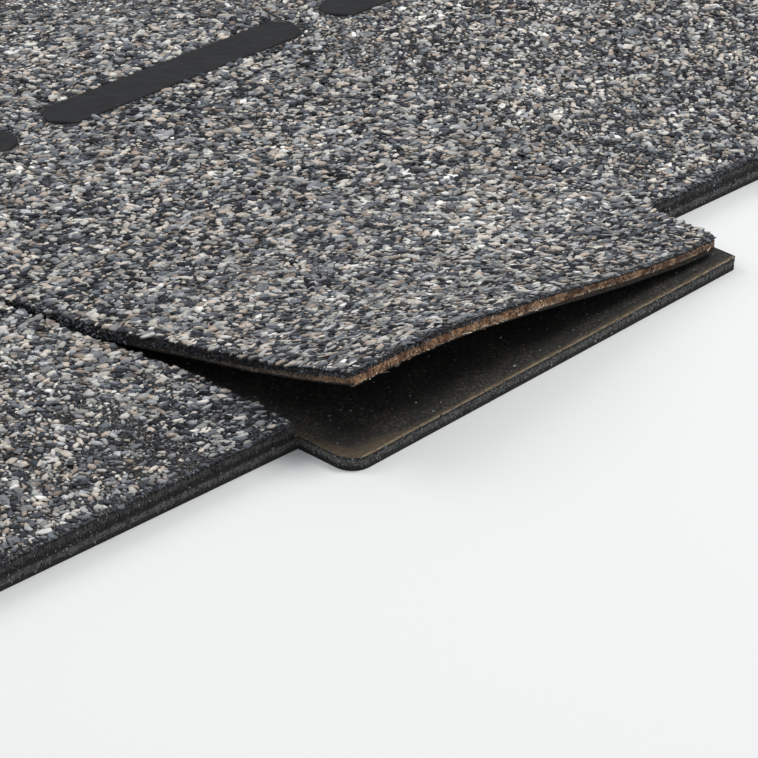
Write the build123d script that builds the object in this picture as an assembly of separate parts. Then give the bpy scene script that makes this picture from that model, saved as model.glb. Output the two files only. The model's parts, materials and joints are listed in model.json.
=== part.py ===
from build123d import *
from math import acos, atan2, cos, degrees, sin
import os

# One laminated asphalt strip shingle, lying face up as it rests on a level floor.
# X runs along the strip, Y from the butts up to the headlap's upper edge, Z up.
# The origin is the middle of the rectangle that the shingle covers on the floor.
# A set-back is measured along Y from the butt of the longest tab.

# The two sheets
strip_length = 1000.0
strip_depth = 337.0
sheet_thickness = 3.2
backer_depth = 195.0

# Tabs from left to right: the width of each but the last, and each butt's set-back
tab_widths = [105.0, 165.0, 170.0, 138.0, 192.0, 110.0]
tab_setbacks = [8.0, 31.0, 17.0, 0.0, 34.5, 13.0, 26.0]
butt_corner_radius = 1.5

# Slots between the tabs, through the top sheet only, and how far each leans along X
slot_width = 2.0
slot_reach = 165.0
slot_leans = {1: 7.0, 2: -9.0, 5: -6.0, 6: 8.0}

# The curled tab, fourth from the left: its butt runs askew and has drawn back a little
curled_index = 3
butt_skew = 6.5
drawn_back = 4.0
curl_lift = 16.3
curl_power = 2.9
far_corner_share = 0.1
level_butt_width = 15.0
curl_sections = 7
curl_points = 9

# Its near side leans in two straight stretches, and the neighbour's side flares away
near_inset = 4.0
near_bend_inset = 0.8
near_bend_setback = 50.0
near_root_inset = -17.2
flare_width = 1.8
far_gap_at_butt = 2.6
far_gap_at_root = 0.8
far_corner_radius = 3.0
near_corner_radius = 1.2
backer_corner_radius = 5.0

# The headlap drops behind the backer in an S-bend and rests on the floor
bend_radius = 120.0
bend_clearance = 2.0

# Dashes of sealant along the headlap
dash_length = 88.0
dash_width = 12.0
dash_gap = 12.0
dash_height = 0.6
dash_edge_ease = 0.4
dash_setback = 173.5

# What follows from these sizes
left_end = -strip_length / 2
front = -strip_depth / 2
lap_height = 2 * sheet_thickness
cutter_height = 2 * (lap_height + curl_lift)
tab_edges = [left_end + sum(tab_widths[:index]) for index in range(len(tab_setbacks))]
tab_edges.append(left_end + strip_length)
near_side = tab_edges[curled_index]
far_side = tab_edges[curled_index + 1]
root = front + slot_reach


def prism(points):
    # An upright prism over a closed outline.
    return extrude(make_face(Polyline(*points, close=True)), cutter_height)


def stepped_plan(upper_edge):
    # The plan of a sheet whose butt steps from tab to tab.
    points = []
    for index, setback in enumerate(tab_setbacks):
        skew = butt_skew if index == curled_index else 0.0
        points.append((tab_edges[index], front + setback))
        points.append((tab_edges[index + 1], front + setback + skew))
    points.append((tab_edges[-1], front + upper_edge))
    points.append((tab_edges[0], front + upper_edge))
    plan = make_face(Polyline(*points, close=True))
    corners = plan.vertices().filter_by(lambda corner: corner.Y < front + slot_reach)
    inner = (near_side, front + tab_setbacks[curled_index - 1])
    others = corners.sort_by_distance(inner)[1:]
    long_corner = (near_side, front)
    plan = fillet(others.sort_by_distance(long_corner)[1:], butt_corner_radius)
    return fillet(plan.vertices().sort_by_distance(long_corner)[0], backer_corner_radius)


def make_backer():
    return extrude(stepped_plan(backer_depth), sheet_thickness)


def flat_and_bend():
    # The top sheet from the side: flat on the backer, an S-bend, flat on the floor.
    turn = acos(1 - sheet_thickness / (2 * bend_radius))
    swing = degrees(turn)
    start = front + backer_depth + bend_clearance
    end = start + 2 * bend_radius * sin(turn)
    back = front + strip_depth
    crown = (start, lap_height - sheet_thickness / 2 - bend_radius)
    foot = (end, sheet_thickness / 2 + bend_radius)
    wide = bend_radius + sheet_thickness / 2
    tight = bend_radius - sheet_thickness / 2
    side = make_face([
        Line((front, sheet_thickness), (front, lap_height)),
        Line((front, lap_height), (start, lap_height)),
        CenterArc(crown, wide, 90, -swing),
        CenterArc(foot, tight, 270 - swing, swing),
        Line((end, sheet_thickness), (back, sheet_thickness)),
        Line((back, sheet_thickness), (back, 0)),
        Line((back, 0), (end, 0)),
        CenterArc(foot, wide, 270 - swing, swing),
        CenterArc(crown, tight, 90, -swing),
        Line((start, sheet_thickness), (front, sheet_thickness)),
    ])
    upright = Plane(origin=(left_end, 0, 0), x_dir=(0, 1, 0), z_dir=(1, 0, 0))
    return extrude(upright * side, strip_length)


def plain_slot(index):
    # A leaning slot between two flat tabs, with a round inner end.
    foot_x = tab_edges[index]
    head_x = foot_x + slot_leans[index]
    half = slot_width / 2
    reach = slot_reach - half
    cut = prism([(foot_x - half, front - slot_width), (foot_x + half, front - slot_width),
                 (head_x + half, front + reach), (head_x - half, front + reach)])
    return cut + Pos(head_x, front + reach, 0) * extrude(Circle(half), cutter_height)


def near_edge(offset=0.0):
    # The curled tab's near side in plan, from its butt up to its root.
    foot = (near_side + near_inset + offset, front - slot_width)
    bend = (near_side + near_bend_inset + offset, front + near_bend_setback)
    head = (near_side + near_root_inset + offset, root)
    return [foot, bend, head]


def tab_window():
    # What the flat sheet loses round the curled tab, its two slots included.
    _, bend, head = near_edge(-flare_width)
    return prism([(bend[0], front - slot_width), bend, head, (far_side, root),
                  (far_side, front - slot_width)])


def butt_line(x):
    # Where the curled tab's butt lies in plan.
    share = (x - near_side) / (far_side - near_side)
    return front + drawn_back + butt_skew * share


def corner_share(x):
    # How much of the full lift the butt has at this place, from 1 down to the far corner's.
    share = (x - near_side - level_butt_width) / (far_side - near_side - level_butt_width)
    share = min(max(share, 0.0), 1.0)
    fall = 3 * share**2 - 2 * share**3
    return 1 - (1 - far_corner_share) * fall


def curl_section(x):
    # A strip of constant thickness, bent up towards the butt.
    butt = butt_line(x)
    lift = curl_lift * corner_share(x)
    run = root - butt
    upper, lower = [], []
    for step in range(curl_points):
        share = step / (curl_points - 1)
        y = root - run * share
        z = lap_height + lift * share**curl_power
        slope = atan2(lift * curl_power * share ** (curl_power - 1), run)
        upper.append((x, y, z))
        lower.append((x, y - sheet_thickness * sin(slope), z - sheet_thickness * cos(slope)))
    tangents = [(0, -1, 0), (0, -cos(slope), sin(slope))]
    return make_face([
        Spline(*upper, tangents=tangents),
        Line(upper[-1], lower[-1]),
        Spline(*lower, tangents=tangents),
        Line(lower[0], upper[0]),
    ])


def corner_edge(sheet, x):
    # The upright edge where the tab's side at this place meets its butt.
    middle = lap_height + curl_lift * corner_share(x) - sheet_thickness / 2
    return sheet.edges().sort_by_distance((x, butt_line(x), middle))[0]


def make_curl():
    # The curled tab: sections lofted along X and trimmed to the tab's sides.
    first = near_side + near_root_inset - slot_width
    last = far_side + slot_width
    pitch = (last - first) / (curl_sections - 1)
    sheet = loft([curl_section(first + pitch * index) for index in range(curl_sections)])
    foot, bend, head = near_edge()
    far_foot = far_side - far_gap_at_butt
    far_head = far_side - far_gap_at_root
    reach = front - slot_width
    trim = prism([foot, bend, head, (far_head, root), (far_foot, reach)])
    sheet = sheet & trim
    sheet = fillet(corner_edge(sheet, foot[0]), near_corner_radius)
    return fillet(corner_edge(sheet, far_foot), far_corner_radius)


def make_top_sheet():
    sheet = flat_and_bend() & extrude(stepped_plan(strip_depth), cutter_height)
    sheet -= tab_window()
    for index in slot_leans:
        sheet -= plain_slot(index)
    return sheet + make_curl()


def make_sealant():
    # One row of low dashes with eased edges, centred on the strip.
    pitch = dash_length + dash_gap
    count = int(strip_length // pitch)
    dash = extrude(SlotOverall(dash_length, dash_width), dash_height)
    dash = chamfer(dash.faces().sort_by(Axis.Z)[-1].edges(), dash_edge_ease)
    row = [Pos((index - (count - 1) / 2) * pitch, front + dash_setback, lap_height) * dash
           for index in range(count)]
    return Compound(children=row)


os.makedirs("parts", exist_ok=True)
export_step(make_top_sheet(), "parts/top_sheet.step")
export_step(make_backer(), "parts/backer_sheet.step")
export_step(make_sealant(), "parts/sealant_dashes.step")
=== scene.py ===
import bpy
import json
import math
import numpy as np
from mathutils import Matrix, Vector

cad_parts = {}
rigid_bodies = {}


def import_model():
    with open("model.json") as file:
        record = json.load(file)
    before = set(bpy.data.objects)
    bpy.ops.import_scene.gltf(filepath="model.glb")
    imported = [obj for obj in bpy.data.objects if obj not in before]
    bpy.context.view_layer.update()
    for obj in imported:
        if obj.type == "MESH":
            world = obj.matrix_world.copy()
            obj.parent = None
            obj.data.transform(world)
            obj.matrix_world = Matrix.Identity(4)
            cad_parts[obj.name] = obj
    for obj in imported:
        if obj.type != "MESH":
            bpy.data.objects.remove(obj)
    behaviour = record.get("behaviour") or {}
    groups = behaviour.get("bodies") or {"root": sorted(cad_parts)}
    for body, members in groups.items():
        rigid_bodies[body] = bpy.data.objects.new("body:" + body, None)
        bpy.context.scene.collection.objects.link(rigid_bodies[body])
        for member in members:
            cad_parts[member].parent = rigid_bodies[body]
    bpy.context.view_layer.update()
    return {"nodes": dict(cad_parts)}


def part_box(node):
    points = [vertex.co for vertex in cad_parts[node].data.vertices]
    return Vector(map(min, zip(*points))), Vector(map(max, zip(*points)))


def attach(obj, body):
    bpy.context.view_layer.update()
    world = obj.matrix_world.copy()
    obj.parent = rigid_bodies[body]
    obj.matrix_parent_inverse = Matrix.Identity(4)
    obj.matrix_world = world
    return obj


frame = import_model()
mm = 0.001
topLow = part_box("top_sheet")[0]
backerLow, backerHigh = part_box("backer_sheet")
sheetThickness = backerHigh.z - backerLow.z
front = min(topLow.y, backerLow.y)
print("frame loaded:", sorted(frame["nodes"]))


# A method of Sock that adds a Math node
def mathMethod(operation, swapped=False):
    def method(self, other):
        return self.math(operation, other, self) if swapped else self.math(operation, self, other)
    return method


# A socket: its arithmetic adds Math nodes, and [name] gives another output of its node
class Sock:
    def __init__(self, tree, link):
        self.tree = tree
        self.link = link

    def __getitem__(self, name):
        return Sock(self.tree, self.link.node.outputs[name])

    def math(self, operation, first, second=0.0):
        return self.tree.add("ShaderNodeMath", {"operation": operation}, {0: first, 1: second})

    __add__ = mathMethod("ADD")
    __radd__ = mathMethod("ADD", swapped=True)
    __sub__ = mathMethod("SUBTRACT")
    __rsub__ = mathMethod("SUBTRACT", swapped=True)
    __mul__ = mathMethod("MULTIPLY")
    __rmul__ = mathMethod("MULTIPLY", swapped=True)
    __truediv__ = mathMethod("DIVIDE")
    __pow__ = mathMethod("POWER")
    __gt__ = mathMethod("GREATER_THAN")
    __lt__ = mathMethod("LESS_THAN")
    max = mathMethod("MAXIMUM")
    min = mathMethod("MINIMUM")

    def rise(self, start, end):
        # 0 below start, 1 above end, smooth between them (start may be the larger one)
        values = {"Value": self, "From Min": start, "From Max": end}
        return self.tree.add("ShaderNodeMapRange", {"interpolation_type": "SMOOTHSTEP"}, values)

    def over(self, pair):
        # the pair's first number, and its second times this socket
        return pair[0] + pair[1] * self


def asColour(value):
    return value if isinstance(value, Sock) else (*value, 1.0)


# A node tree, for a material, the world or Geometry Nodes
class Tree:
    def __init__(self, nodeTree):
        self.nodes = nodeTree.nodes
        self.links = nodeTree.links

    def add(self, kind, settings=None, sockets=None, out=0):
        # any node: its settings first, then the values or links of its sockets
        node = self.nodes.new(kind)
        for name, value in (settings or {}).items():
            if name == "stops":
                self.setStops(node.color_ramp, value)
            else:
                setattr(node, name, value)
        for name, value in (sockets or {}).items():
            if isinstance(value, Sock):
                self.links.new(value.link, node.inputs[name])
            else:
                node.inputs[name].default_value = value
        if not len(node.outputs):
            return None
        return Sock(self, node.outputs[out])

    def setStops(self, ramp, stops):
        while len(ramp.elements) < len(stops):
            ramp.elements.new(1.0)
        for element, (position, colour) in zip(ramp.elements, stops):
            element.position = position
            element.color = (*colour, 1.0)

    def ramp(self, stops, share):
        return self.add("ShaderNodeValToRGB", {"stops": stops}, {"Fac": share})

    def blend(self, share, first, second):
        # two colours mixed
        settings = {"data_type": "RGBA", "clamp_factor": True}
        return self.add("ShaderNodeMix", settings, {0: share, 6: asColour(first), 7: asColour(second)}, out=2)

    def shade(self, colour, factor):
        # a colour or a vector times a factor
        return self.add("ShaderNodeVectorMath", {"operation": "SCALE"}, {0: colour, "Scale": factor})

    def together(self, first, second):
        # two vectors added
        return self.add("ShaderNodeVectorMath", {"operation": "ADD"}, {0: first, 1: second})

    def apart(self, first, second):
        # how far one place is from another
        return self.add("ShaderNodeVectorMath", {"operation": "DISTANCE"}, {0: first, 1: second}, out=1)

    def parts(self, vector):
        # a vector's X, Y and Z, by name
        return self.add("ShaderNodeSeparateXYZ", {}, {0: vector})

    def scaled(self, place, scale):
        # a place scaled along each axis, which stretches the noise read there
        return self.add("ShaderNodeMapping", {}, {"Vector": place, "Scale": scale})

    def objectPlace(self):
        return self.add("ShaderNodeTexCoord")["Object"]

    def mark(self, name):
        # a value that the mesh carries in an attribute
        return self.add("ShaderNodeAttribute", {"attribute_name": name})["Fac"]

    def noise(self, place, size, detail=2.0, rough=0.5):
        # soft noise from 0 to 1, with its lumps about size metres across
        values = {"Vector": place, "Scale": 1.0 / size, "Detail": detail, "Roughness": rough}
        return self.add("ShaderNodeTexNoise", {"noise_dimensions": "3D"}, values)

    def spots(self, place, size, detail, rough, start, end):
        # the same noise, 0 below start and 1 above end
        return self.noise(place, size, detail, rough).rise(start, end)


def newMaterial(name):
    material = bpy.data.materials.new(name)
    material.use_nodes = True
    material.node_tree.nodes.clear()
    return material, Tree(material.node_tree)


# Ends a material: colour, roughness and an optional bump height in metres
def finishMaterial(material, tree, colour, roughness, height=None, specular=0.3):
    sockets = {"Base Color": colour, "Roughness": roughness, "Specular IOR Level": specular}
    if height is not None:
        bump = {"Strength": 1.0, "Distance": 1.0, "Height": height}
        sockets["Normal"] = tree.add("ShaderNodeBump", {}, bump)
    shader = tree.add("ShaderNodeBsdfPrincipled", {}, sockets)
    tree.add("ShaderNodeOutputMaterial", {}, {"Surface": shader})
    return material


# In the dictionaries, noise is (size, detail, roughness), and spots add where they start and are full.
# A rise is (start, full). A shade or a roughness is (least, what is added to it).

# The mix of granules: how far along the blend each sort begins, and its colour
granuleMix = {
    "stops": [
        (0.00, (0.012, 0.013, 0.016)),    # coal black
        (0.12, (0.034, 0.038, 0.047)),    # charcoal with a blue cast
        (0.24, (0.085, 0.092, 0.105)),    # dark slate
        (0.38, (0.160, 0.172, 0.188)),    # slate
        (0.51, (0.232, 0.222, 0.208)),    # warm grey
        (0.63, (0.340, 0.346, 0.350)),    # light grey
        (0.76, (0.490, 0.465, 0.415)),    # cream
        (0.87, (0.425, 0.350, 0.290)),    # rosy tan
        (0.93, (0.170, 0.132, 0.108)),    # brown
        (0.97, (0.640, 0.625, 0.590)),    # pale quartz
    ],
    "patches": (26 * mm, 2.0),    # the blend drifts in patches about this wide
    "patchShare": 0.30,           # by this much of the scale
    "clumps": (4.2 * mm, 2.0),    # stones lie in paler and darker clumps
    "clumpShare": 2.0,
    "mottle": (0.5 * mm, 1.0),    # and each stone is mottled
    "mottleShade": (0.62, 0.76),
    "stains": [                   # place, reach and how much of the scale darker (or paler); the first darkening is painted shade at the left tab's corner by the bared backer
        ((-70 * mm, -136 * mm, 6 * mm), 30 * mm, -0.22),
        ((-30 * mm, -62 * mm, 6 * mm), 52 * mm, -0.10),
        ((44 * mm, -118 * mm, 9 * mm), 38 * mm, 0.09),
    ],
    "asphalt": (0.012, 0.012, 0.013),
}


def granuleColour(tree, lot, place):
    # the colour of a granule by its lot, 0 to 1, and by where it lies
    patch = tree.noise(place, *granuleMix["patches"])
    clump = tree.noise(place, *granuleMix["clumps"])
    mottle = tree.noise(place, *granuleMix["mottle"])
    lot = lot + (0.5 - patch) * granuleMix["patchShare"]
    # painted shade at the first place, and darker and paler places in the blend at the others
    for centre, reach, amount in granuleMix["stains"]:
        lot = lot + amount * tree.apart(place, centre).rise(reach, 0.0)
    stone = tree.ramp(granuleMix["stops"], lot.max(0.0).min(1.0))
    brightness = 1.0 + (clump - 0.5) * granuleMix["clumpShare"]
    return tree.shade(stone, brightness * mottle.over(granuleMix["mottleShade"]))


# Inside this outline the sheet is seen close, and modelled granules cover it.
# Outside it they are sparser, and the coating's own pattern shows between them.
closeUp = {
    "corners": [(-215 * mm, -190 * mm), (40 * mm, 84 * mm), (213 * mm, -66 * mm), (128 * mm, -190 * mm)],
    "fade": 14 * mm,
}


def insideCloseUp(tree, place):
    # 1 inside the outline and 0 outside, with a soft border
    parts = tree.parts(place)
    corners = closeUp["corners"]
    inside = 1.0
    for (ax, ay), (bx, by) in zip(corners, corners[1:] + corners[:1]):
        length = math.hypot(bx - ax, by - ay)
        depth = (parts["X"] - ax) * ((by - ay) / length) + (parts["Y"] - ay) * ((ax - bx) / length)
        inside = inside * depth.rise(0.0, closeUp["fade"])
    return inside


def outsideCloseUp(tree, place):
    return 1.0 - insideCloseUp(tree, place)


# Deselects everything, then selects and activates the objects given
def pick(*objects):
    bpy.ops.object.select_all(action="DESELECT")
    for obj in objects:
        obj.select_set(True)
        bpy.context.view_layer.objects.active = obj


def selectFaces(obj, wanted):
    # in edit mode, selects the faces that wanted picks, and no others
    bpy.ops.mesh.select_mode(type="FACE")
    bpy.ops.mesh.select_all(action="DESELECT")
    bpy.ops.object.mode_set(mode="OBJECT")
    for polygon in obj.data.polygons:
        polygon.select = wanted(polygon)
    bpy.ops.object.mode_set(mode="EDIT")


def newGroup(name):
    group = bpy.data.collections.new(name)
    bpy.context.scene.collection.children.link(group)
    return group


def moveToGroup(obj, group):
    for collection in obj.users_collection:
        collection.objects.unlink(obj)
    group.objects.link(obj)


# The granule shapes: low blocks, cut away aslant and crowned on top, about one unit across
chipShapes = {
    "sides": [5, 6, 5, 4, 5],
    "topShare": [0.62, 0.70, 0.54, 0.66, 0.72],
    "height": [0.54, 0.48, 0.60, 0.52, 0.44],
    "cutLean": [0.20, -0.17, 0.14, 0.19, -0.21],
    "cutTurn": 0.6,      # how much the cut leans along Y for each unit along X
    "cutHeight": 0.80,   # as a share of the height
    "topFacing": 0.8,    # a face that looks up by more than this is on top
    "smooth": [True, True, False, False, True],
    "crown": 0.06,
    "stretch": 1.10,
    "jitter": 0.12,
    "sunk": 0.30,        # share of the height below the face that the granule lies on
}


def modelChip(index, group):
    spec = chipShapes
    height = spec["height"][index]
    lean = spec["cutLean"][index]
    pick()
    bpy.ops.mesh.primitive_cone_add(vertices=spec["sides"][index], radius1=0.5, depth=height,
                                    radius2=0.5 * spec["topShare"][index], end_fill_type="NGON",
                                    location=(0, 0, height * (0.5 - spec["sunk"])))
    chip = bpy.context.object
    chip.name = f"chip{index}"
    bpy.ops.object.transform_apply(location=True, rotation=True, scale=True)
    bpy.ops.object.mode_set(mode="EDIT")
    bpy.ops.mesh.select_all(action="SELECT")
    bpy.ops.mesh.bisect(plane_co=(0, 0, height * (spec["cutHeight"] - spec["sunk"])),
                        plane_no=(lean, spec["cutTurn"] * lean, 1.0), use_fill=True, clear_outer=True)
    selectFaces(chip, lambda polygon: polygon.normal.z > spec["topFacing"])
    bpy.ops.mesh.poke(offset=spec["crown"])
    bpy.ops.mesh.select_all(action="SELECT")
    bpy.ops.transform.resize(value=(spec["stretch"], 1.0 / spec["stretch"], 1.0))
    bpy.ops.transform.vertex_random(offset=spec["jitter"], seed=index + 1)
    bpy.ops.mesh.quads_convert_to_tris()
    bpy.ops.mesh.normals_make_consistent(inside=False)
    bpy.ops.object.mode_set(mode="OBJECT")
    if spec["smooth"][index]:
        bpy.ops.object.shade_smooth()
    heights = np.array([vertex.co.z for vertex in chip.data.vertices])
    rise = (heights - heights.min()) / (heights.max() - heights.min())
    chip.data.attributes.new("rise", "FLOAT", "POINT").data.foreach_set("value", rise.astype(np.float32))
    moveToGroup(chip, group)


# The splinters of fibre: thin three-sided rods along X, one unit long, with a kink in the middle
splinterShapes = {
    "thick": [0.055, 0.045, 0.070],
    "kink": [(0.00, 0.07, 0.03), (0.06, -0.10, 0.05), (-0.08, 0.04, 0.09)],
    "half": 0.5,
    "tip": 0.45,         # the tip's width, as a share of the foot's
    "endFacing": 0.9,    # a face that looks along X by more than this is the end
}


def modelSplinter(index, group):
    spec = splinterShapes
    pick()
    bpy.ops.mesh.primitive_cylinder_add(vertices=3, radius=spec["thick"][index], depth=spec["half"],
                                        end_fill_type="NGON", location=(-0.5 * spec["half"], 0, 0),
                                        rotation=(0, math.pi / 2, 0))
    splinter = bpy.context.object
    splinter.name = f"splinter{index}"
    bpy.ops.object.transform_apply(location=True, rotation=True, scale=True)
    bpy.ops.object.mode_set(mode="EDIT")
    selectFaces(splinter, lambda polygon: polygon.normal.x > spec["endFacing"])
    bpy.ops.transform.translate(value=spec["kink"][index])
    bpy.ops.mesh.extrude_region_move(TRANSFORM_OT_translate={"value": (spec["half"], 0, 0)})
    bpy.ops.transform.resize(value=(1.0, spec["tip"], spec["tip"]))
    bpy.ops.mesh.select_all(action="SELECT")
    bpy.ops.mesh.quads_convert_to_tris()
    bpy.ops.mesh.normals_make_consistent(inside=False)
    bpy.ops.object.mode_set(mode="OBJECT")
    moveToGroup(splinter, group)


# Carriers: merged copies of CAD faces, which chips are scattered over
faceCopies = {"weld": 1e-6, "up": 0.5}    # vertices nearer than weld merge; a face above up looks up


def copyFaces(name, nodes, keep):
    # a copy of the faces that keep picks by their centre and normal
    copies = []
    for node in nodes:
        copy = frame["nodes"][node].copy()
        copy.data = frame["nodes"][node].data.copy()
        copy.parent = None
        for key in list(copy.keys()):    # a copy is no CAD node, so it drops that node's properties
            del copy[key]
        bpy.context.scene.collection.objects.link(copy)
        copies.append(copy)
    pick(*copies)
    if len(copies) > 1:
        bpy.ops.object.join()
    carrier = bpy.context.object
    carrier.name = name
    carrier.data.name = name
    bpy.ops.mesh.customdata_custom_splitnormals_clear()    # they would be wrong once faces are cut away
    bpy.ops.object.shade_smooth()
    bpy.ops.object.mode_set(mode="EDIT")
    bpy.ops.mesh.select_all(action="SELECT")
    bpy.ops.mesh.remove_doubles(threshold=faceCopies["weld"])
    selectFaces(carrier, lambda polygon: not keep(polygon.center, polygon.normal))
    bpy.ops.mesh.delete(type="FACE")
    bpy.ops.object.mode_set(mode="OBJECT")
    return carrier


def facesUp(centre, normal):
    return normal.z > faceCopies["up"]


def cutAt(carrier, planes):
    # keeps what lies behind each plane, given as a point and a normal
    pick(carrier)
    bpy.ops.object.mode_set(mode="EDIT")
    for point, normal in planes:
        bpy.ops.mesh.select_all(action="SELECT")
        bpy.ops.mesh.bisect(plane_co=point, plane_no=normal, clear_outer=True)
    bpy.ops.object.mode_set(mode="OBJECT")


def rimLines():
    # the stretches of the granule face's rim that run along the strip, as bare edges
    whole = copyFaces("granuleFace", ["top_sheet"], facesUp)
    bpy.ops.object.mode_set(mode="EDIT")
    bpy.ops.mesh.select_all(action="SELECT")
    bpy.ops.mesh.region_to_loop()
    bpy.ops.mesh.duplicate()
    bpy.ops.mesh.separate(type="SELECTED")
    bpy.ops.object.mode_set(mode="OBJECT")
    lines = next(obj for obj in bpy.context.selected_objects if obj is not whole)
    bpy.data.objects.remove(whole)
    pick(lines)
    bpy.ops.object.mode_set(mode="EDIT")
    bpy.ops.mesh.select_mode(type="EDGE")
    bpy.ops.mesh.select_all(action="DESELECT")
    bpy.ops.object.mode_set(mode="OBJECT")
    for edge in lines.data.edges:
        first, second = (lines.data.vertices[index].co for index in edge.vertices)
        edge.select = abs(second.y - first.y) > abs(second.x - first.x)
    bpy.ops.object.mode_set(mode="EDIT")
    bpy.ops.mesh.delete(type="EDGE")
    bpy.ops.object.mode_set(mode="OBJECT")
    return lines


rims = rimLines()

# Scattering. Whatever is drawn by chance has its own number, which is added to the scatter's seed.
chanceOf = {"tilt": 1, "turn": 2, "size": 3, "flat": 4, "long": 5, "shape": 6, "lot": 7, "kept": 8}
scattering = {
    "tries": 5.0,              # points tried on each square of the spacing
    "offDashes": 0.9 * mm,     # chips keep this far from the sealant
    "unstreaked": 0.30,        # share of its own length that a stone keeps where there are no streaks
}


def draw(tree, spec, what, low, high):
    # a number from low to high for each point
    values = {2: low, 3: high, 8: spec["seed"] + chanceOf[what]}
    return tree.add("FunctionNodeRandomValue", {"data_type": "FLOAT"}, values, out=1)


def chipTurn(tree, normal, spec):
    # a chip lies on its face, leaning and turned by chance
    sway = {0: (-spec["tilt"],) * 3, 1: (spec["tilt"],) * 3, 8: spec["seed"] + chanceOf["tilt"]}
    leaning = tree.together(normal, tree.add("FunctionNodeRandomValue", {"data_type": "FLOAT_VECTOR"}, sway))
    turn = draw(tree, spec, "turn", -spec["turn"], spec["turn"])
    first, second = spec.get("along", ((1, 0, 0), (0, 1, 0)))
    along = tree.together(tree.shade(first, turn.math("COSINE", turn)),
                          tree.shade(second, turn.math("SINE", turn)))
    settings = {"primary_axis": "Z", "secondary_axis": "X"}
    return tree.add("FunctionNodeAxesToRotation", settings, {0: leaning, 1: along})


def chipScale(tree, place, spec, atRim):
    # small chips are common and large ones rare; they are finer at a dark rim and rounder off the streaks
    small, large, rarity = spec["sizes"]
    size = small + (large - small) * draw(tree, spec, "size", 0.0, 1.0) ** rarity
    if "darkRim" in spec:
        size = size * (1.0 - spec["darkRim"]["finer"] * atRim)
    flat = draw(tree, spec, "flat", *spec["flat"])
    longer = draw(tree, spec, "long", *spec["long"])
    if "streaks" in spec:
        streaks = spec["streaks"]
        streaky = tree.parts(place)["Y"].rise(streaks["start"], streaks["full"])
        size = size * (streaks["grown"] + (1.0 - streaks["grown"]) * streaky)
        kept = scattering["unstreaked"]
        longer = streaks["rounder"] + (longer - streaks["rounder"]) * (kept + (1.0 - kept) * streaky)
    return tree.add("ShaderNodeCombineXYZ", {}, {"X": size * longer, "Y": size, "Z": size * flat})


def scatter(carrier, group, spec, factor=None):
    # chips of a group over a carrier's faces, which then go; each chip's lot stays in the attribute "lot"
    nodeTree = bpy.data.node_groups.new(carrier.name + "Scatter", "GeometryNodeTree")
    for way in ("INPUT", "OUTPUT"):
        nodeTree.interface.new_socket("Geometry", in_out=way, socket_type="NodeSocketGeometry")
    tree = Tree(nodeTree)
    place = tree.add("GeometryNodeInputPosition")

    def distanceTo(obj, element):
        target = tree.add("GeometryNodeObjectInfo", {}, {"Object": obj})["Geometry"]
        values = {0: target, "Sample Position": place}
        return tree.add("GeometryNodeProximity", {"target_element": element}, values)["Distance"]

    values = {"Mesh": tree.add("NodeGroupInput"), "Distance Min": spec["spacing"],
              "Density Max": scattering["tries"] / spec["spacing"] ** 2, "Seed": spec["seed"]}
    points = tree.add("GeometryNodeDistributePointsOnFaces", {"distribute_method": "POISSON"}, values)
    share = factor(tree, place) if factor else 1.0
    share = (distanceTo(frame["nodes"]["sealant_dashes"], "FACES") > scattering["offDashes"]) * share
    values = {"Geometry": points, "Selection": draw(tree, spec, "kept", 0.0, 1.0) > share}
    kept = tree.add("GeometryNodeDeleteGeometry", {"domain": "POINT"}, values)
    lot = draw(tree, spec, "lot", *spec.get("lots", (0.0, 1.0)))
    atRim = None
    if "darkRim" in spec:
        atRim = distanceTo(rims, "EDGES").rise(spec["darkRim"]["gone"], spec["darkRim"]["full"])
        lot = lot * (1.0 - spec["darkRim"]["darker"] * atRim)
    values = {"Collection": group, "Separate Children": True, "Reset Children": True}
    shapes = tree.add("GeometryNodeCollectionInfo", {}, values)
    values = {4: 0, 5: len(group.objects) - 1, 8: spec["seed"] + chanceOf["shape"]}
    which = tree.add("FunctionNodeRandomValue", {"data_type": "INT"}, values, out=2)
    values = {"Points": kept, "Instance": shapes, "Pick Instance": True, "Instance Index": which,
              "Rotation": chipTurn(tree, points["Normal"], spec),
              "Scale": chipScale(tree, place, spec, atRim)}
    placed = tree.add("GeometryNodeInstanceOnPoints", {}, values)
    settings = {"data_type": "FLOAT", "domain": "INSTANCE"}
    values = {"Geometry": placed, "Name": "lot", 3: lot}
    marked = tree.add("GeometryNodeStoreNamedAttribute", settings, values)
    tree.add("NodeGroupOutput", {}, {0: tree.add("GeometryNodeRealizeInstances", {}, {"Geometry": marked})})
    modifier = carrier.modifiers.new("scatter", "NODES")
    modifier.node_group = nodeTree
    pick(carrier)
    bpy.ops.object.modifier_apply(modifier="scatter")
    bpy.data.node_groups.remove(nodeTree)


# A map seen from straight above (or along one side), stretched to the whole square but a margin
mapMargin = 0.01


def mapFlat(obj, axes):
    mesh = obj.data
    places = np.zeros(len(mesh.vertices) * 3, np.float32)
    mesh.vertices.foreach_get("co", places)
    flat = places.reshape(-1, 3)[:, list(axes)]
    low, high = flat.min(0), flat.max(0)
    flat = mapMargin + (1 - 2 * mapMargin) * (flat - low) / (high - low)
    corners = np.zeros(len(mesh.loops), np.int32)
    mesh.loops.foreach_get("vertex_index", corners)
    layer = mesh.uv_layers.new(name="OFBake")
    layer.uv.foreach_set("vector", flat[corners].astype(np.float32).ravel())
    mesh.uv_layers.active = layer


def dress(obj, material, axes=(0, 1)):
    # a finished piece: its map, one material and its body
    mapFlat(obj, axes)
    obj.data.materials.clear()
    obj.data.materials.append(material)
    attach(obj, "root")
    triangles = sum(len(polygon.vertices) - 2 for polygon in obj.data.polygons)
    print(f"{obj.name}: {triangles} triangles")


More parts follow.
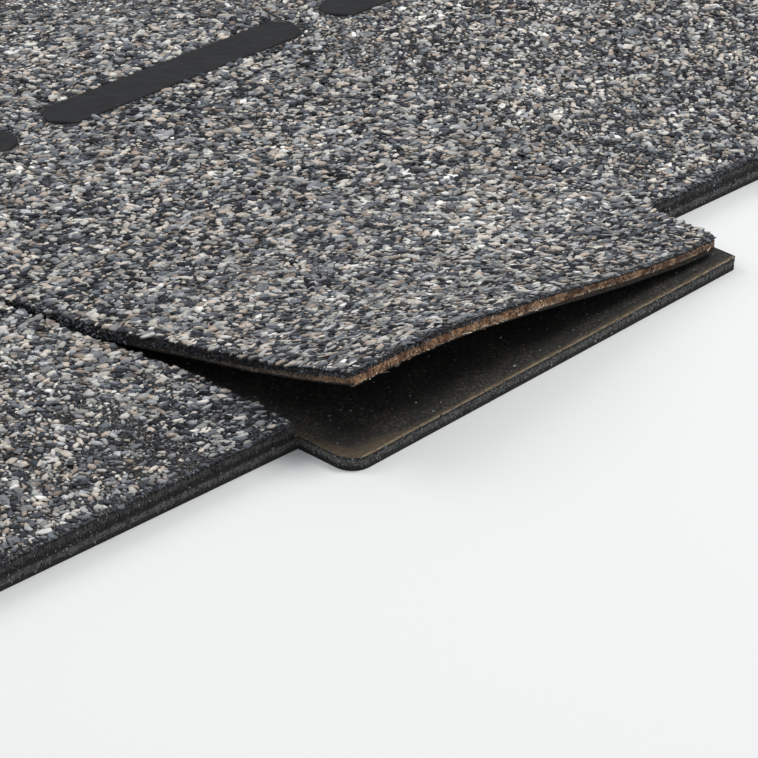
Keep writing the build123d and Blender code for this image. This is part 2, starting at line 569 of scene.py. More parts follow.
# Materials
chipFinish = {
    "footRise": (0.24, 0.80),     # painted shade: a chip is dark at its foot, as in the crevices between stones
    "footShade": (0.08, 0.98),
    "grain": (0.25 * mm, 2.0),
    "relief": 0.05 * mm,
    "roughness": (0.70, 0.25),
}


def chipMaterial():
    material, tree = newMaterial("mineralGranules")
    place = tree.objectPlace()
    # painted shade, darker towards each chip's foot
    brightness = tree.mark("rise").rise(*chipFinish["footRise"]).over(chipFinish["footShade"])
    colour = tree.shade(granuleColour(tree, tree.mark("lot"), place), brightness)
    grain = tree.noise(place, *chipFinish["grain"])
    roughness = grain.over(chipFinish["roughness"])
    return finishMaterial(material, tree, colour, roughness, chipFinish["relief"] * grain)


coating = {
    "cell": 1.35 * mm,            # granules of the coating, across
    "grit": 0.50 * mm,            # and the finer grit between modelled granules
    "seamRise": (0.10, 0.04),     # asphalt between them, as a share of a cell
    "relief": 0.30 * mm,
    "reliefRise": (0.0, 0.30),
    "domeRise": (0.05, 0.40),     # painted shade: each granule is paler towards its middle and darker towards its seams
    "domeShade": (0.67, 0.84),
    "closeUpShade": 0.29,         # painted shade: darker where modelled granules lie on it, for the gaps between them
    "grain": (0.5 * mm, 3.0, 0.65),
    "edgeRelief": 0.22 * mm,
    "edgeDust": 0.42,
    "roughness": (0.78, 0.18),
}


def coatingPattern(tree, place, cell):
    # the coating's granules as colour and height, from cells of a size
    values = {"Vector": place, "Scale": 1.0 / cell, "Randomness": 1.0}
    cells = tree.add("ShaderNodeTexVoronoi", {"feature": "F1"}, values)
    seams = tree.add("ShaderNodeTexVoronoi", {"feature": "DISTANCE_TO_EDGE"}, values)
    lot = tree.add("ShaderNodeSeparateColor", {}, {0: cells["Color"]})["Red"]
    # painted shade: each cell darker towards its seams
    domeShading = seams.rise(*coating["domeRise"]).over(coating["domeShade"])
    stone = tree.shade(granuleColour(tree, lot, place), domeShading)
    colour = tree.blend(seams.rise(*coating["seamRise"]), stone, granuleMix["asphalt"])
    relief = coating["relief"] * cell / coating["cell"]
    return colour, seams.rise(*coating["reliefRise"]) * relief


sheetEdges = {
    "gap": (0.006, 0.006, 0.006),       # painted shade: near black at the foot of a sheet, as in a crevice there, and between the grit above
    "core": (0.022, 0.021, 0.020),      # felt soaked in asphalt
    "line": (0.125, 0.120, 0.112),      # dust caught along the upper half of the edge
    "wander": (2.5 * mm, 3.0),          # the line wanders up and down
    "wanderShare": 0.26,                # by this share of the sheet's thickness
    "lineFrom": (0.30, 0.48),
    "lineTo": (0.92, 0.76),
    "crust": (0.0, 0.22),
    "crustShare": 0.8,
    "grit": (0.8 * mm, 3.0, 0.7, 0.38, 0.62),
    "gritShade": (0.25, 0.75),
    "under": (0.016, 0.016, 0.016),     # the underside and its sand
    "sand": (0.120, 0.110, 0.095),
    "sandSpots": (0.45 * mm, 2.0, 0.6, 0.60, 0.74),
    "sandShare": 0.6,
    "facing": (0.45, 0.60),             # how far the top looks up, and the underside down
}


def edgeColour(tree, place, bottom, dusty):
    # a cut edge: black at its foot, where shade is painted as in a crevice, and at its top, with a dusty grey
    # line between, as strong as dusty
    height = (tree.parts(place)["Z"] - bottom) / sheetThickness
    level = height + sheetEdges["wanderShare"] * (tree.noise(place, *sheetEdges["wander"]) - 0.5)
    line = level.rise(*sheetEdges["lineFrom"]) * level.rise(*sheetEdges["lineTo"])
    grit = tree.spots(place, *sheetEdges["grit"])
    # from the foot up, the painted shade gives way to soaked felt where there is grit
    crust = level.rise(*sheetEdges["crust"]) * sheetEdges["crustShare"] * grit
    bare = tree.blend(crust, sheetEdges["gap"], sheetEdges["core"])
    return tree.blend(line * grit.over(sheetEdges["gritShade"]) * dusty, bare, sheetEdges["line"])


def sheetColour(tree, place, top, edge):
    # the top, the cut edge or the underside, by the way a face looks, and how far it is top
    facing = tree.parts(tree.add("ShaderNodeNewGeometry")["Normal"])["Z"]
    start, full = sheetEdges["facing"]
    isTop = facing.rise(start, full)
    isUnder = facing.rise(-start, -full)
    sand = tree.spots(place, *sheetEdges["sandSpots"]) * sheetEdges["sandShare"]
    under = tree.blend(sand, sheetEdges["under"], sheetEdges["sand"])
    return tree.blend(isTop, tree.blend(isUnder, edge, under), top), isTop


def topSheetMaterial():
    material, tree = newMaterial("coatedSheet")
    place = tree.objectPlace()
    near = insideCloseUp(tree, place)
    stones, stoneRelief = coatingPattern(tree, place, coating["cell"])
    grit, gritRelief = coatingPattern(tree, place, coating["grit"])
    # painted shade under the modelled granules
    face = tree.blend(near, stones, tree.shade(grit, coating["closeUpShade"]))
    relief = stoneRelief * (1.0 - near) + gritRelief * near
    edge = edgeColour(tree, place, sheetThickness, coating["edgeDust"])
    grain = tree.noise(place, *coating["grain"])
    colour, isTop = sheetColour(tree, place, face, edge)
    height = isTop * relief + (1.0 - isTop) * (coating["edgeRelief"] * grain)
    return finishMaterial(material, tree, colour, grain.over(coating["roughness"]), height)


# The backer's bared top under the curled tab, with rims that run inward from the butt.
# A rim is (how far it wanders, where it is gone, where it is full, its strength).
imprint = {
    "asphalt": (0.0140, 0.0130, 0.0115),
    "dust": (0.085, 0.076, 0.062),
    "brown": (0.165, 0.115, 0.066),
    "pale": (0.30, 0.235, 0.155),
    "buttLeft": (-60 * mm, front),               # the butt line under the curled tab
    "buttRight": (78 * mm, front + 6.5 * mm),
    "past": (4 * mm, 2 * mm),                    # the rims run this far past its ends
    "nearSide": (0.4 * mm, 1.15),                # and grow inward like this along the near side
    "wander": (4 * mm, 4.0, 0.65),
    "brownRim": (1.6 * mm, 1.65 * mm, 0.3 * mm, 0.75),
    "softRim": (2.4 * mm, 2.09 * mm, 0.0, 0.60),
    "paleRim": (0.5 * mm, 0.62 * mm, 0.30 * mm, 0.7),
    "cornerRise": (24 * mm, 3 * mm),             # round the near corner the soft rim widens
    "cornerWidth": (1.0, 2.8),
    "fibreScale": (0.30, 1.6, 1.0),
    "fibre": (0.5 * mm, 3.0, 0.7),
    "fibreShare": (3.0, 0.9, 0.12),              # contrast, drop and least
    "paleFibre": (0.38, 0.60),
    "paleShade": (0.35, 0.65),
    "smears": (8 * mm, 5.0, 0.7, 0.40, 0.66),
    "smearShade": (0.22, 0.75),
    "specks": (0.75 * mm, 4.0, 0.8, 0.46, 0.62),
    "edgeDust": 0.85,
    "grain": (0.6 * mm, 3.0, 0.65),
    "relief": 0.20 * mm,
    "roughness": (0.62, 0.30),
}


def baredTop(tree, place):
    spec = imprint
    parts = tree.parts(place)
    (ax, ay), (bx, by) = spec["buttLeft"], spec["buttRight"]
    inward = parts["Y"] - ay - (parts["X"] - ax) * ((by - ay) / (bx - ax))
    sideways = parts["X"] - ax
    pastLeft, pastRight = spec["past"]
    underTab = (parts["X"] > ax - pastLeft) * (parts["X"] < bx + pastRight)
    wander = tree.noise(place, *spec["wander"]) - 0.5

    def rim(name, depth):
        reach, gone, full, strength = spec[name]
        return (depth + wander * reach).rise(gone, full) * underTab * strength

    square = inward * inward + sideways * sideways
    width = square.math("SQRT", square).rise(*spec["cornerRise"]).over(spec["cornerWidth"])
    depth = inward.min(sideways.over(spec["nearSide"]))
    fibre = tree.noise(tree.scaled(place, spec["fibreScale"]), *spec["fibre"])
    contrast, drop, least = spec["fibreShare"]
    fibrous = (fibre * contrast - drop).max(least).min(1.0)
    brownShare = rim("brownRim", depth).max(rim("softRim", depth / width)) * fibrous
    paleShare = rim("paleRim", depth) * fibre.rise(*spec["paleFibre"]).over(spec["paleShade"])
    dusty = tree.spots(place, *spec["specks"]) * tree.spots(place, *spec["smears"]).over(spec["smearShade"])
    ground = tree.blend(dusty, spec["asphalt"], spec["dust"])
    return tree.blend(paleShare, tree.blend(brownShare, ground, spec["brown"]), spec["pale"])


def backerMaterial():
    material, tree = newMaterial("bareBacker")
    place = tree.objectPlace()
    edge = edgeColour(tree, place, 0.0, imprint["edgeDust"])
    colour, _ = sheetColour(tree, place, baredTop(tree, place), edge)
    grain = tree.noise(place, *imprint["grain"])
    return finishMaterial(material, tree, colour, grain.over(imprint["roughness"]), imprint["relief"] * grain)


sealant = {
    "black": (0.007, 0.007, 0.008),
    "dust": (0.060, 0.057, 0.053),
    "dustSpots": (0.8 * mm, 3.0, 0.7, 0.56, 0.76),
    "dustShare": 0.30,
    "ripple": (5 * mm, 3.0),
    "relief": 0.35 * mm,
    "roughness": (0.38, 0.25),
    "dustRoughness": 0.30,
    "specular": 0.2,
}


def sealantMaterial():
    material, tree = newMaterial("asphaltSealant")
    place = tree.objectPlace()
    ripple = tree.noise(place, *sealant["ripple"])
    dust = tree.spots(place, *sealant["dustSpots"])
    colour = tree.blend(dust * sealant["dustShare"], sealant["black"], sealant["dust"])
    roughness = ripple.over(sealant["roughness"]) + sealant["dustRoughness"] * dust
    return finishMaterial(material, tree, colour, roughness, sealant["relief"] * ripple, sealant["specular"])


# The brown mat in the middle of the sheet, bared along the curled tab's edge
matCore = {
    "rust": (0.115, 0.052, 0.026),
    "tan": (0.330, 0.195, 0.108),
    # black of soaked felt, also used for the painted shade at the band's foot
    "soak": (0.024, 0.017, 0.012),
    "pale": (0.660, 0.575, 0.455),
    "dusty": (0.190, 0.158, 0.128),    # where the edge is less worn
}
fibreFinish = {
    "sorts": [(0.0, "soak"), (0.28, "soak"), (0.46, "rust"), (0.70, "tan"), (0.86, "pale")],
    "mottle": (1.1 * mm, 2.0),
    "mottleShare": 0.40,
    "patches": (4 * mm, 3.0, 0.6, 0.42, 0.66),
    "patchShare": 1.55,
    "roughness": (0.85, 0.1),
}
bandFinish = {
    "strandScale": (1.0, 1.0, 0.25),       # strands stand across the edge
    "strands": (0.35 * mm, 3.0, 0.6),
    "strandMiddle": 0.42,
    "strandShare": 2.6,
    "patches": (4 * mm, 3.0, 0.6, 0.36, 0.62),
    "patchShade": (-0.34, 1.10),
    "ragged": (1.2 * mm, 3.0, 0.7),        # the borders between the colours are ragged
    "raggedShare": 0.42,
    "soakedTop": (0.90, 1.04),
    # black below the brown zone: asphalt, and painted shade on the lower part of the butt
    "soakedFoot": (0.02, -0.14),
    "pores": (0.65 * mm, 2.0, 0.6, 0.50, 0.62),
    "poreShare": 0.85,
    "crackScale": (1.0, 1.0, 0.05),
    "cracks": (2.2 * mm, 1.0, 0.5, 0.68, 0.72),
    "crackShare": 0.8,
    "brownWhere": (0.45, 0.85),            # by wear: dusty below, brown above
    "paleWhere": (0.62, 1.0),              # and with pale flecks along the foot
    "paleFoot": (0.27, 0.12),
    "paleFlecks": (2.2 * mm, 2.0, 0.5, 0.42, 0.56),
    "paleShare": 0.75,
    "dull": (1.8 * mm, 2.0, 0.6),
    "dullShade": (0.1, 1.8),
    "roughness": (0.80, 0.15),
    "relief": 0.25 * mm,
}


def fibreMaterial():
    # loose fibres of the mat
    material, tree = newMaterial("brownFibres")
    place = tree.objectPlace()
    stops = [(start, matCore[sort]) for start, sort in fibreFinish["sorts"]]
    mottle = tree.noise(place, *fibreFinish["mottle"])
    patches = tree.spots(place, *fibreFinish["patches"])
    brightness = fibreFinish["mottleShare"] * mottle + fibreFinish["patchShare"] * patches
    colour = tree.shade(tree.ramp(stops, tree.mark("lot")), brightness)
    return finishMaterial(material, tree, colour, mottle.over(fibreFinish["roughness"]))


def bandMaterial():
    # the mat on the cut: brown strands standing across the edge, soaked black near its top, and black near
    # its foot that is partly asphalt and partly painted shade
    material, tree = newMaterial("matBand")
    place = tree.objectPlace()
    spec = bandFinish
    worn = tree.mark("wear")
    strands = tree.noise(tree.scaled(place, spec["strandScale"]), *spec["strands"])
    tanShare = tree.spots(place, *spec["patches"]).over(spec["patchShade"])
    tanShare = tanShare + spec["strandShare"] * (strands - spec["strandMiddle"])
    ragged = tree.mark("height") + spec["raggedShare"] * (tree.noise(place, *spec["ragged"]) - 0.5)
    # black at the top is soaked felt; black at the foot is soaked felt and painted shade
    soakedAndShaded = ragged.rise(*spec["soakedTop"]).max(ragged.rise(*spec["soakedFoot"]))
    pores = tree.spots(place, *spec["pores"]) * spec["poreShare"]
    cracks = tree.spots(tree.scaled(place, spec["crackScale"]), *spec["cracks"]) * spec["crackShare"]
    dull = (1.0 - worn) * tree.noise(place, *spec["dull"]).over(spec["dullShade"])
    brown = tree.blend(tanShare, matCore["rust"], matCore["tan"])
    brown = tree.blend(worn.rise(*spec["brownWhere"]), matCore["dusty"], brown)
    flecks = ragged.rise(*spec["paleFoot"]) * tree.spots(place, *spec["paleFlecks"])
    bright = tree.blend(flecks * worn.rise(*spec["paleWhere"]) * spec["paleShare"], brown, matCore["pale"])
    colour = tree.blend(soakedAndShaded.max(cracks).max(pores).max(dull), bright, matCore["soak"])
    return finishMaterial(material, tree, colour, strands.over(spec["roughness"]), spec["relief"] * strands)


# Carried-over CAD nodes keep their shape and get their finish
def finishNode(node, material):
    for slotOfMaterial in frame["nodes"][node].material_slots:
        slotOfMaterial.material = material


finishNode("top_sheet", topSheetMaterial())
finishNode("backer_sheet", backerMaterial())
finishNode("sealant_dashes", sealantMaterial())
print("sheets and sealant finished")

granules = chipMaterial()
band = bandMaterial()
fibres = fibreMaterial()
chipGroup = newGroup("chips")
for chipIndex in range(len(chipShapes["sides"])):
    modelChip(chipIndex, chipGroup)
splinterGroup = newGroup("splinters")
for splinterIndex in range(len(splinterShapes["thick"])):
    modelSplinter(splinterIndex, splinterGroup)
print("chips and splinters modelled")

# Granules where the sheet is seen close
closeGranules = {
    "spacing": 1.00 * mm,
    "sizes": (1.00 * mm, 2.6 * mm, 2.4),    # smallest, largest, and how rare the large ones are
    "flat": (0.55, 0.95),                   # height and length as shares of the width
    "long": (1.00, 1.60),
    "tilt": 0.30,
    "turn": 1.57,
    "darkRim": {"darker": 0.62, "finer": 0.20, "full": 0.6 * mm, "gone": 3.6 * mm},
}
# What differs on the curled tab, in the few large stones, in the worn corner and on the rest
curledGranules = {
    "sizes": (0.90 * mm, 2.3 * mm, 2.2),
    "long": (1.15, 2.20),
    "turn": 0.75,
    "along": ((0.90, -0.44, 0), (0.44, 0.90, 0)),    # the way the stones of the curled tab lie
    "darkRim": {"darker": 0.55, "finer": 0.38, "full": 0.5 * mm, "gone": 2.4 * mm},
    "streaks": {"start": -112 * mm, "full": -142 * mm, "grown": 1.26, "rounder": 1.10},
}
largeGranules = {
    "spacing": 6.0 * mm, "sizes": (2.2 * mm, 3.7 * mm, 1.3), "flat": (0.34, 0.52), "long": (1.0, 1.35),
    "tilt": 0.22, "lots": (0.30, 1.0),    # no black ones
}
cornerGrit = {
    "spacing": 0.70 * mm, "sizes": (0.40 * mm, 1.30 * mm, 2.0), "long": (1.0, 1.5),
    "tilt": 0.5, "lots": (0.04, 0.84),
}
farGranules = {"spacing": 4.4 * mm, "sizes": (1.3 * mm, 2.7 * mm, 1.6)}

# The left tab's corner by the bared backer has lost its larger stones, and fine grit shows there
wornCorner = {"place": (-67 * mm, -137 * mm, 6.4 * mm), "full": 13 * mm, "reach": 40 * mm, "lost": 0.86}


def atWornCorner(tree, place):
    return tree.apart(place, wornCorner["place"]).rise(wornCorner["reach"], wornCorner["full"])


def besideWornCorner(tree, place):
    return insideCloseUp(tree, place) * (1.0 - wornCorner["lost"] * atWornCorner(tree, place))


# Left and right end in mm, what differs from closeGranules, the seed, and where they lie
granulePieces = {
    "granulesLeftTab": (-217, -84, {}, 11, besideWornCorner),
    "granulesCurledTabNear": (-84, -28, curledGranules, 34, insideCloseUp),
    "granulesCurledTabMiddle": (-28, 26, curledGranules, 57, insideCloseUp),
    "granulesCurledTabFar": (26, 84, curledGranules, 80, insideCloseUp),
    "granulesRightTab": (84, 215, {}, 103, insideCloseUp),
    "granulesLarge": (-217, 215, largeGranules, 223, besideWornCorner),
    "cornerGrit": (-100, -56, cornerGrit, 231, atWornCorner),
    "granulesLeftEnd": (-500, -100, farGranules, 311, outsideCloseUp),
    "granulesMiddle": (-100, 180, farGranules, 331, outsideCloseUp),
    "granulesRightEnd": (180, 500, farGranules, 351, outsideCloseUp),
}
for name, (left, right, changes, seed, factor) in granulePieces.items():
    carrier = copyFaces(name, ["top_sheet"], facesUp)
    cutAt(carrier, [((left * mm, 0, 0), (-1, 0, 0)), ((right * mm, 0, 0), (1, 0, 0))])
    scatter(carrier, chipGroup, {**closeGranules, **changes, "seed": seed}, factor)
    dress(carrier, granules)
print("granules laid")

# The curled tab's cut edge: brown mat on its butt, darker along its near side
tabEdge = {
    "nearCorner": (-56.2 * mm, -164.6 * mm, 0),
    "farCorner": (74.3 * mm, -158.4 * mm, 0),
    "buttFacing": (0.047, -1, 0),
    "sideFoot": (-56.5 * mm, -164.4 * mm, 0),
    "sideHead": (-62.0 * mm, -100.0 * mm, 0),
    "sideFacing": (-1, -0.087, 0),
}
# The brown zone's limits are shares of the edge's height, at the band's start and end, and they
# change over the stretch in shift. Below brownLow the edge is drawn black, partly asphalt and partly
# painted shade on the curled tab's butt. Wear too is given at the start and the end.
buttBand = {
    "columns": 420, "rows": 9, "proud": 0.10 * mm, "rough": 0.9, "sag": 0.35 * mm,
    "brownLow": (0.00, 0.44), "brownHigh": (0.72, 0.97), "shift": (0.24, 0.64),
    "wear": (1.0, 0.70), "seed": 5,
}
sideBand = {
    "columns": 190, "rows": 8, "proud": 0.08 * mm, "rough": 0.7, "sag": 0.20 * mm,
    "brownLow": (-0.05, -0.10), "brownHigh": (0.30, 0.62), "shift": (0.35, 1.0),
    "wear": (0.12, 0.80), "seed": 6,
}
# How the sheet is felt for its edge, in mm
probes = {
    "above": 50,
    "below": -10,
    "standOff": 6,           # out from the edge, where it is first felt from the side
    "rowStandOff": 3,        # and for each row
    "rowReach": 1.2,         # a row that finds nothing this near keeps the place of the one below
    "inside": 1.5,           # in from the edge's line
    "near": 1.0,             # in from the edge itself, twice, for the slope there
    "deep": 2.0,
    "carry": (0.6, 1.0),     # how far the slope is carried out to the rim, at the top and the bottom
}
bandForm = {
    "foot": 0.03,            # the lowest row, and the rows' span, as shares of the edge's height
    "span": 0.93,
    "tuck": -0.35 * mm,      # the first and last rows are tucked into the sheet
    "drop": 0.05 * mm,       # the second row hangs a little
    "sagSpan": 5,            # columns over which the sag is smoothed
    "sagSpare": 8,           # and what is drawn beyond the last column for it
}


def feel(origin, direction):
    # where a ray meets the top sheet
    hit, point, _, _ = frame["nodes"]["top_sheet"].ray_cast(origin, direction)
    return point if hit else None


def sheetHeights(at):
    # the top and the bottom of the sheet at a place in plan
    top = feel(Vector((at.x, at.y, probes["above"] * mm)), Vector((0, 0, -1)))
    bottom = feel(Vector((at.x, at.y, probes["below"] * mm)), Vector((0, 0, 1)))
    return top.z, bottom.z


def edgeColumn(plan, inward):
    # the cut edge at a place in plan: a point on it, and the heights of its top and foot
    top, bottom = sheetHeights(plan + inward * probes["inside"] * mm)
    face = feel(Vector((plan.x, plan.y, 0.5 * (top + bottom))) - inward * probes["standOff"] * mm, inward)
    nearTop, nearBottom = sheetHeights(face + inward * probes["near"] * mm)
    deepTop, deepBottom = sheetHeights(face + inward * probes["deep"] * mm)
    topCarry, bottomCarry = probes["carry"]
    top = nearTop + topCarry * (nearTop - deepTop)
    bottom = nearBottom + bottomCarry * (nearBottom - deepBottom)
    return face, top, bottom


def between(pair, share):
    return pair[0] + (pair[1] - pair[0]) * share


def edgeBand(name, start, end, facing, spec):
    # a band that follows a cut edge of the top sheet, a little proud of it and ragged along its foot
    inward = -Vector(facing).normalized()
    columns, rows = spec["columns"], spec["rows"]
    pick()
    bpy.ops.mesh.primitive_grid_add(x_subdivisions=columns - 1, y_subdivisions=rows - 1, size=1)
    bandObject = bpy.context.object
    bandObject.name = name
    mesh = bandObject.data
    grid = {}
    for vertex in mesh.vertices:
        column = round((vertex.co.x + 0.5) * (columns - 1))
        row = round((vertex.co.y + 0.5) * (rows - 1))
        grid[column, row] = vertex
    rng = np.random.default_rng(spec["seed"])
    smoothing = np.ones(bandForm["sagSpan"]) / bandForm["sagSpan"]
    sag = np.convolve(rng.normal(0, 1, columns + bandForm["sagSpare"]), smoothing, "valid")
    marks = {mark: np.zeros(len(mesh.vertices), np.float32) for mark in ("height", "wear")}
    for column in range(columns):
        along = column / (columns - 1)
        face, top, bottom = edgeColumn(Vector(start).lerp(Vector(end), along), inward)
        shift = (along - spec["shift"][0]) / (spec["shift"][1] - spec["shift"][0])
        shift = min(1.0, max(0.0, shift))
        low = between(spec["brownLow"], shift)
        high = between(spec["brownHigh"], shift)
        point = face
        for row in range(rows):
            share = row / (rows - 1)
            z = bottom + (bandForm["foot"] + bandForm["span"] * share) * (top - bottom)
            found = feel(Vector((face.x, face.y, z)) - inward * probes["rowStandOff"] * mm, inward)
            if found and (found - face).dot(inward) < probes["rowReach"] * mm:
                point = found
            proud = bandForm["tuck"]
            if row not in (0, rows - 1):
                proud = spec["proud"] * (1 + spec["rough"] * rng.normal())
            place = Vector((point.x, point.y, z)) - inward * proud
            if row <= 1:
                place.z += min(0.0, spec["sag"] * sag[column]) - (bandForm["drop"] if row else 0.0)
            vertex = grid[column, row]
            vertex.co = place
            marks["height"][vertex.index] = (share - low) / (high - low)
            marks["wear"][vertex.index] = between(spec["wear"], along)
    for mark, values in marks.items():
        mesh.attributes.new(mark, "FLOAT", "POINT").data.foreach_set("value", values)
    bpy.ops.object.mode_set(mode="EDIT")
    bpy.ops.mesh.select_all(action="SELECT")
    if mesh.polygons[0].normal.dot(inward) > 0:
        bpy.ops.mesh.flip_normals()
    bpy.ops.object.mode_set(mode="OBJECT")
    return bandObject


# Fibres and grit on the band, each in its own zone of the band's height
bandZones = {"matTop": (1.10, 0.92), "matFoot": (-0.15, 0.02), "rim": (0.92, 1.06), "paleFoot": (0.36, 0.20)}
strands = {
    "spacing": 0.80 * mm, "sizes": (0.55 * mm, 1.50 * mm, 1.8), "flat": (0.7, 1.2), "long": (0.8, 1.3),
    "tilt": 0.35, "turn": 1.57, "lots": (0.00, 0.98),
}
splinters = {
    "spacing": 1.9 * mm, "sizes": (0.8 * mm, 2.2 * mm, 1.5), "flat": (1.2, 2.4), "long": (0.8, 1.2),
    "tilt": 0.30, "turn": 0.50, "lots": (0.72, 1.0),
}
rimGrit = {
    "spacing": 0.55 * mm, "sizes": (0.45 * mm, 1.05 * mm, 1.6), "flat": (0.7, 1.2), "long": (0.9, 1.4),
    "tilt": 0.45, "turn": 1.2, "lots": (0.0, 0.30),
}
darkStrands = {**strands, "lots": (0.0, 0.20)}
sideSplinters = {
    **splinters, "spacing": 1.6 * mm, "sizes": (0.7 * mm, 1.5 * mm, 1.5),
    "tilt": 0.15, "turn": 0.20, "lots": (0.30, 0.70),
}


def zone(tree, name):
    height = tree.add("GeometryNodeInputNamedAttribute", {"data_type": "FLOAT"}, {"Name": "height"})
    return height.rise(*bandZones[name])


def onMat(tree, place):
    return zone(tree, "matTop") * zone(tree, "matFoot")


def onRim(tree, place):
    return zone(tree, "rim")


def onFoot(tree, place):
    return zone(tree, "paleFoot") * zone(tree, "matFoot")


buttMat = edgeBand("matBand", tabEdge["nearCorner"], tabEdge["farCorner"], tabEdge["buttFacing"], buttBand)
sideMat = edgeBand("matBandSide", tabEdge["sideHead"], tabEdge["sideFoot"], tabEdge["sideFacing"], sideBand)
alongButt = ((1, 0, 0), (0, 0, 1))
alongSide = ((0, 1, 0), (0, 0, 1))
bands = {"butt": (buttMat, alongButt, (0, 2)), "side": (sideMat, alongSide, (1, 2))}    # with its map's axes
edgeLayers = {
    "matStrands": ("butt", splinterGroup, strands, 401, onMat),
    "paleSplinters": ("butt", splinterGroup, splinters, 421, onFoot),
    "buttGrit": ("butt", chipGroup, rimGrit, 441, onRim),
    "sideStrands": ("side", splinterGroup, darkStrands, 461, onMat),
    "sideSplinters": ("side", splinterGroup, sideSplinters, 511, onFoot),
    "sideGrit": ("side", chipGroup, rimGrit, 481, onRim),
}
for name, (where, group, spec, seed, factor) in edgeLayers.items():
    bandObject, along, mapAxes = bands[where]
    carrier = bandObject.copy()
    carrier.data = bandObject.data.copy()
    carrier.name = name
    bpy.context.scene.collection.objects.link(carrier)
    scatter(carrier, group, {**spec, "along": along, "seed": seed}, factor)
    dress(carrier, granules if group is chipGroup else fibres, mapAxes)
for bandObject, _, mapAxes in bands.values():
    dress(bandObject, band, mapAxes)
print("curled tab's edge made")

# Dark grit on the other cut edges that are seen close, and coarser grit in the curled tab's slot
edgeGrit = {
    "spacing": 0.80 * mm, "sizes": (0.40 * mm, 0.95 * mm, 2.0), "flat": (0.45, 0.85), "long": (0.9, 1.4),
    "tilt": 0.40, "turn": 1.2, "lots": (0.0, 0.38), "along": ((0.7, 0.7, 0), (0, 0, 1)), "seed": 501,
}
slotGrit = {
    **edgeGrit, "sizes": (0.70 * mm, 1.70 * mm, 1.6), "flat": (0.55, 0.90),
    "tilt": 0.60, "lots": (0.02, 0.50), "along": alongSide, "seed": 541,
}
gritEdges = {
    "sideways": 0.45,                     # a face that looks up or down by less is a cut edge
    "slotFacing": -0.6,                   # the slot's side looks along X by less than this
    "slotSpan": (-90 * mm, -55 * mm),     # and lies between these
    "offFloor": 0.8 * mm,
    "matSpan": (-62.5 * mm, 78 * mm),     # where the curled tab's mat shows, there is no such grit
    "matBack": -99 * mm,
    "matFoot": 4.6 * mm,
}


def facesSideways(centre, normal):
    return abs(normal.z) < gritEdges["sideways"]


def facesSlot(centre, normal):
    left, right = gritEdges["slotSpan"]
    return normal.x < gritEdges["slotFacing"] and left < centre.x < right


def onOtherEdges(tree, place):
    parts = tree.parts(place)
    left, right = gritEdges["matSpan"]
    onTab = (parts["X"] > left) * (parts["X"] < right) * (parts["Y"] < gritEdges["matBack"])
    onBand = onTab * (parts["Z"] > gritEdges["matFoot"])
    return insideCloseUp(tree, place) * (parts["Z"] > gritEdges["offFloor"]) * (1.0 - onBand)


grit = copyFaces("edgeGrit", ["top_sheet", "backer_sheet"], facesSideways)
scatter(grit, chipGroup, edgeGrit, onOtherEdges)
dress(grit, granules)
slotSide = copyFaces("slotGrit", ["top_sheet"], facesSlot)
scatter(slotSide, chipGroup, slotGrit, onOtherEdges)
dress(slotSide, granules, (1, 2))

# Fine grit and dust lying on the backer where the curled tab bares it
imprintGrit = {
    "spacing": 1.80 * mm, "sizes": (0.22 * mm, 0.80 * mm, 4.0), "flat": (0.4, 0.8), "long": (0.9, 1.4),
    "tilt": 0.3, "turn": 3.1, "lots": (0.05, 0.62), "seed": 521,
}
bared = {"left": -58 * mm, "right": 77 * mm, "back": -95 * mm}

loose = copyFaces("looseGrit", ["backer_sheet"], facesUp)
cutAt(loose, [((bared["left"], 0, 0), (-1, 0, 0)), ((bared["right"], 0, 0), (1, 0, 0)),
              ((0, bared["back"], 0), (0, 1, 0))])
scatter(loose, chipGroup, imprintGrit)
dress(loose, granules)
print("grit on edges and backer laid")

bpy.data.objects.remove(rims)
for group in (chipGroup, splinterGroup):
    for shape in list(group.objects):
        bpy.data.objects.remove(shape)
    bpy.data.collections.remove(group)

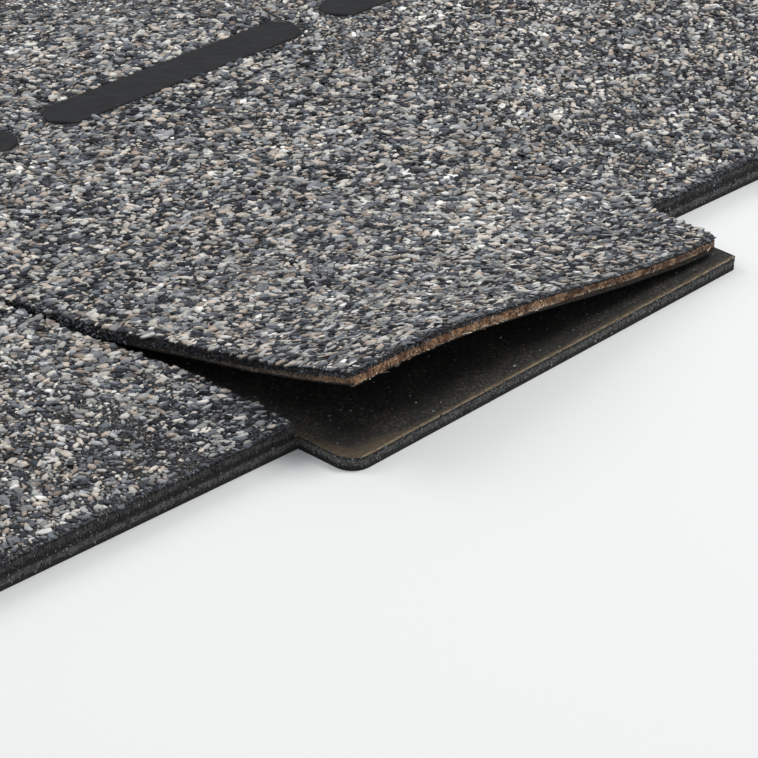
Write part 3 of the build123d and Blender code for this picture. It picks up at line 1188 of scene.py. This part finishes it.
# Floor, light and camera
paleFloor = {"colour": (0.72, 0.72, 0.71), "size": 8, "roughness": 0.9}
studio = {
    "light": {"Color": (0.93, 0.96, 1.0, 1.0), "Strength": 0.62},
    "backdrop": {"Color": (0.93, 0.93, 0.93, 1.0), "Strength": 1.0},
}
softboxes = {
    "key": {"place": (0.9, -0.5, 1.7), "size": 0.9, "power": 24},
    "back": {"place": (-0.6, 1.3, 1.3), "size": 1.1, "power": 12},
}
view = {
    "turn": math.radians(43.65),       # from the strip's direction
    "down": math.radians(28.27),
    "roll": math.radians(1.08),
    "place": Vector((-0.6142, -0.7044, 0.4387)),
    "sensor": 36,
    "focalLength": 4072,               # in pixels of a picture this wide
    "pictureWidth": 758,
    "nearest": 0.01,
}

pick()
bpy.ops.mesh.primitive_plane_add(size=paleFloor["size"])
floor = bpy.context.object
floor.name = "floor"
floorMaterial, floorTree = newMaterial("paleFloor")
finishMaterial(floorMaterial, floorTree, asColour(paleFloor["colour"]), paleFloor["roughness"])
floor.data.materials.append(floorMaterial)

world = bpy.data.worlds.new("studio")
bpy.context.scene.world = world
world.use_nodes = True
world.node_tree.nodes.clear()
sky = Tree(world.node_tree)
lit = sky.add("ShaderNodeBackground", {}, studio["light"])
backdrop = sky.add("ShaderNodeBackground", {}, studio["backdrop"])
fromCamera = sky.add("ShaderNodeLightPath")["Is Camera Ray"]
seen = sky.add("ShaderNodeMixShader", {}, {0: fromCamera, 1: lit, 2: backdrop})
sky.add("ShaderNodeOutputWorld", {}, {"Surface": seen})

for name, box in softboxes.items():
    bpy.ops.object.light_add(type="AREA", location=box["place"])
    lamp = bpy.context.object
    lamp.name = name
    lamp.data.size = box["size"]
    lamp.data.energy = box["power"]
    lamp.rotation_euler = (-lamp.location).to_track_quat("-Z", "Y").to_euler()

camera = bpy.data.cameras.new("camera")
camera.sensor_width = view["sensor"]
camera.lens = view["sensor"] * view["focalLength"] / view["pictureWidth"]
camera.clip_start = view["nearest"]
cameraObject = bpy.data.objects.new("camera", camera)
bpy.context.scene.collection.objects.link(cameraObject)
aim = Matrix.Rotation(view["turn"] - math.pi / 2, 4, "Z")
aim = aim @ Matrix.Rotation(math.pi / 2 - view["down"], 4, "X")
cameraObject.matrix_world = Matrix.Translation(view["place"]) @ aim @ Matrix.Rotation(view["roll"], 4, "Z")
bpy.context.scene.camera = cameraObject
bpy.context.scene.view_settings.view_transform = "Standard"

print("floor, light and camera set")
